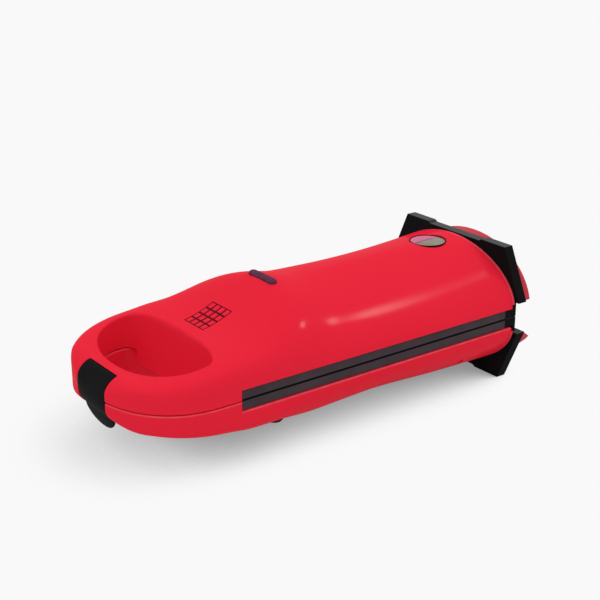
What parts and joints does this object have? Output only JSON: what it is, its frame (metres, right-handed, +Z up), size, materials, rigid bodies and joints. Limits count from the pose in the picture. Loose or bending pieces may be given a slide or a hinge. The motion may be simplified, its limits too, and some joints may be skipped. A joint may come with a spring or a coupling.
{
  "type": "two-slice waffle iron",
  "caption": "Countertop waffle iron with a hinged domed lid, through-handle with finger hole, front snap clip, rear standing feet and square-grid plates.",
  "frame": {"origin": "centre of the footprint on the plane that the front foot and the two rear feet rest on", "axes": "+Z up, +Y from the handle's nose towards the hinge, +X to the right seen from the nose's side looking towards the hinge"},
  "size_m": [0.1288, 0.3113, 0.0948],
  "materials": {
    "red_plastic": "smooth moulded gloss",
    "black_plastic": "smooth moulded satin gloss",
    "grey_plastic": "fine moulded satin",
    "coated_aluminium": "cast, dark non-stick coating",
    "bare_aluminium": "mill finish sheet",
    "heater_sheath": "drawn tube, heat-tinted",
    "steel": "zinc-plated",
    "dark_rubber": "matt moulded",
    "pink_lens": "clear-tinted, moulded",
    "grey_green_lens": "clear-tinted, moulded",
    "lamp_glass": "small neon bulb",
    "white_plastic": "heat-proof moulding"
  },
  "bodies": {
    "base": {"base_shell": "red_plastic", "base_frame": "grey_plastic", "lower_plate": "coated_aluminium", "lower_heater": "heater_sheath", "lower_heater_clamps": "steel", "lower_reflector": "bare_aluminium", "lower_plate_screws": "steel", "lower_reflector_screws": "steel", "base_shell_screws": "steel", "base_wing": "black_plastic", "base_rear_cover": "red_plastic", "base_rear_screws": "steel", "hinge_pins": "steel", "front_foot": "dark_rubber", "clip_catch": "black_plastic", "clip_catch_screw": "steel", "cord_gland": "black_plastic", "terminal_block": "white_plastic"},
    "lid": {"lid_shell": "red_plastic", "lid_frame": "grey_plastic", "upper_plate": "coated_aluminium", "upper_heater": "heater_sheath", "upper_heater_clamps": "steel", "upper_reflector": "bare_aluminium", "upper_plate_screws": "steel", "upper_reflector_screws": "steel", "lid_shell_screws": "steel", "lid_wing": "black_plastic", "lid_rear_cover": "red_plastic", "lid_rear_screws": "steel", "lid_pad": "dark_rubber", "lens_bezel": "black_plastic", "power_lens": "pink_lens", "ready_lens": "grey_green_lens", "indicator_lamps": "lamp_glass", "lamp_holder": "white_plastic", "thermostat": "bare_aluminium", "thermal_fuse": "white_plastic", "clip_pin": "steel"},
    "clip": {"front_clip": "black_plastic"}
  },
  "joints": [
    {"name": "lid_hinge", "type": "hinge", "parent": "base", "child": "lid", "pos_m": [0, 0.13795, 0.0478], "axis": [-1, 0, 0], "range_deg": [0, 105]},
    {"name": "clip_pivot", "type": "hinge", "parent": "lid", "child": "clip", "pos_m": [0, -0.14665, 0.0584], "axis": [-1, 0, 0], "range_deg": [0, 35]}
  ]
}
